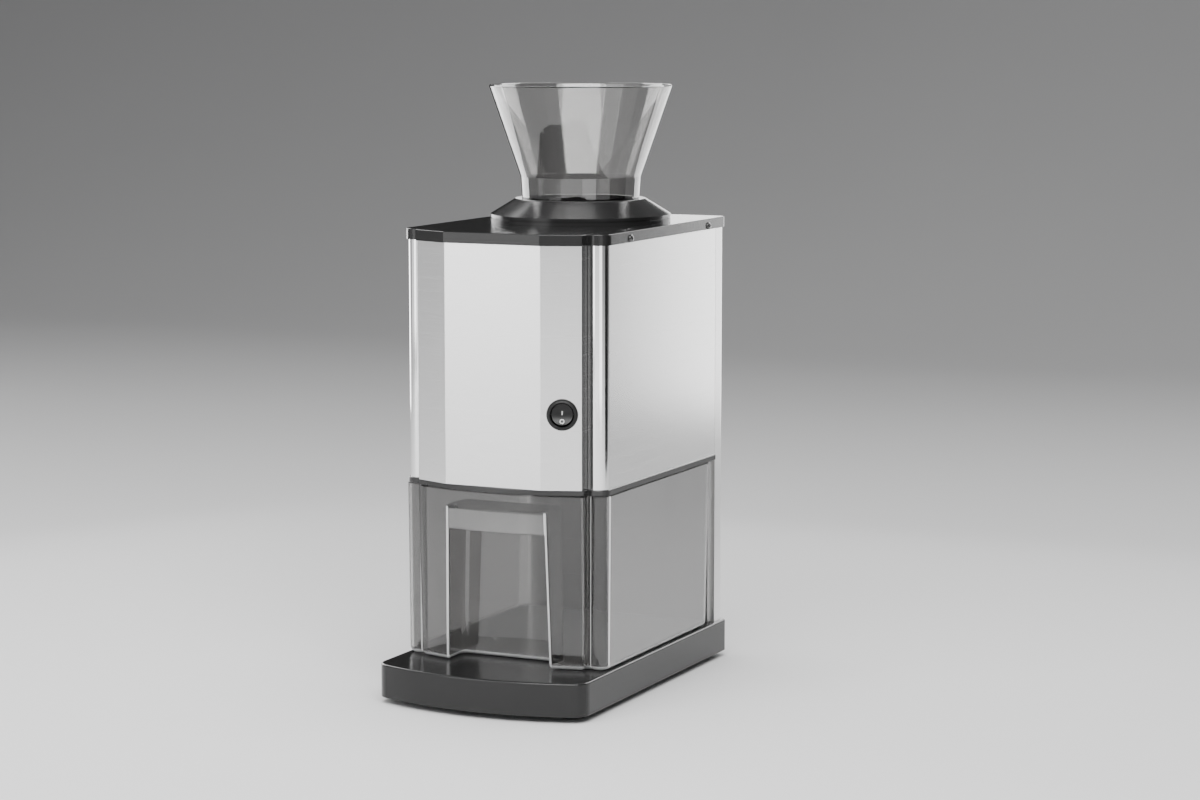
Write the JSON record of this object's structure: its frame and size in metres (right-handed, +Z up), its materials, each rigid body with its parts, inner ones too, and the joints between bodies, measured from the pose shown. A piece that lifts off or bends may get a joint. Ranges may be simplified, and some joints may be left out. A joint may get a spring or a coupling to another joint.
{
  "type": "electric ice crusher",
  "caption": "Upright electric ice crusher: clear funnel over a boxy steel housing with rounded posts, clear pull-out ice bin below, bow-fronted black base.",
  "frame": {"origin": "bottom centre of the whole machine's bounding box, on the surface it stands on", "axes": "+X to the machine's own left as it faces -Y (right-hand side when looking at its front), +Y to its back, +Z up"},
  "size_m": [0.177, 0.306, 0.473],
  "materials": {
    "black_moulding": "satin black",
    "rubber": "matt",
    "panel_steel": "brushed",
    "post_metal": "polished",
    "fixings": "bright",
    "clear_bin": "clear",
    "clear_hopper": "clear",
    "cast": "cast",
    "blade_steel": "ground",
    "bronze": "sintered",
    "gear_steel": "oiled",
    "motor_paint": "satin",
    "magnet": "matt",
    "laminations": "matt",
    "white_plastic": "matt",
    "switch_black": "satin"
  },
  "bodies": {
    "machine": {"base_tray": "black_moulding", "rubber_feet": "rubber", "foot_screws": "fixings", "rear_spine": "panel_steel", "spine_bolts": "fixings", "spine_cover": "panel_steel", "cord_gland": "switch_black", "gland_nut": "switch_black", "interlock_switch": "switch_black", "front_panel": "panel_steel", "corner_post_left": "post_metal", "corner_post_right": "post_metal", "side_panel_left": "panel_steel", "side_panel_right": "panel_steel", "bottom_plate": "black_moulding", "top_cover": "black_moulding", "cover_screws": "fixings", "hopper_seat": "black_moulding", "crusher_chamber": "cast", "chamber_hood": "cast", "outlet_chute": "cast", "chamber_bolts": "fixings", "breaker_comb_left": "blade_steel", "breaker_comb_right": "blade_steel", "comb_screws": "fixings", "shaft_bearings": "bronze", "idler_pin": "blade_steel", "gearcase": "cast", "gearcase_cover": "cast", "gearcase_screws": "fixings", "motor_can": "motor_paint", "motor_magnets": "magnet", "motor_end_bell": "motor_paint", "motor_nose_bearing": "bronze", "switch_bezel": "switch_black", "switch_body": "switch_black"},
    "bin": {"ice_bin": "clear_bin"},
    "funnel": {"hopper": "clear_hopper"},
    "crusher": {"crusher_shaft": "blade_steel", "crusher_blades": "blade_steel", "blade_spacers": "blade_steel", "drive_gear": "gear_steel"},
    "idler": {"idler_gear": "gear_steel"},
    "rotor": {"motor_shaft": "blade_steel", "motor_armature": "laminations", "motor_pinion": "gear_steel", "motor_fan": "white_plastic"},
    "rocker": {"switch_rocker": "switch_black"},
    "plunger": {"interlock_plunger": "white_plastic"}
  },
  "joints": [
    {"name": "bin_slide", "type": "slide", "parent": "machine", "child": "bin", "axis": [0, -1, 0], "range_m": [0, 0.24]},
    {"name": "funnel_lift", "type": "slide", "parent": "machine", "child": "funnel", "axis": [0, 0, 1], "range_m": [0, 0.06]},
    {"name": "crusher_spin", "type": "hinge", "parent": "machine", "child": "crusher", "pos_m": [0, 0.045, 0.262], "axis": [0, 1, 0], "continuous": true},
    {"name": "idler_spin", "type": "hinge", "parent": "machine", "child": "idler", "pos_m": [0, -0.016, 0.30075], "axis": [0, 1, 0], "continuous": true},
    {"name": "rotor_spin", "type": "hinge", "parent": "machine", "child": "rotor", "pos_m": [0, -0.06, 0.27275], "axis": [0, 1, 0], "continuous": true},
    {"name": "power_rocker", "type": "hinge", "parent": "machine", "child": "rocker", "pos_m": [0.05509, -0.10269, 0.229], "axis": [0.9321, 0.3621, 0], "range_deg": [0, 14]},
    {"name": "interlock_press", "type": "slide", "parent": "machine", "child": "plunger", "axis": [0, 1, 0], "range_m": [0, 0.0015], "stiffness_N_per_m": 150, "springref_m": -0.002}
  ],
  "couplings": [
    {"joint": "idler_spin", "follows": "crusher_spin", "ratio": -3.4286},
    {"joint": "rotor_spin", "follows": "crusher_spin", "ratio": 13.714}
  ]
}
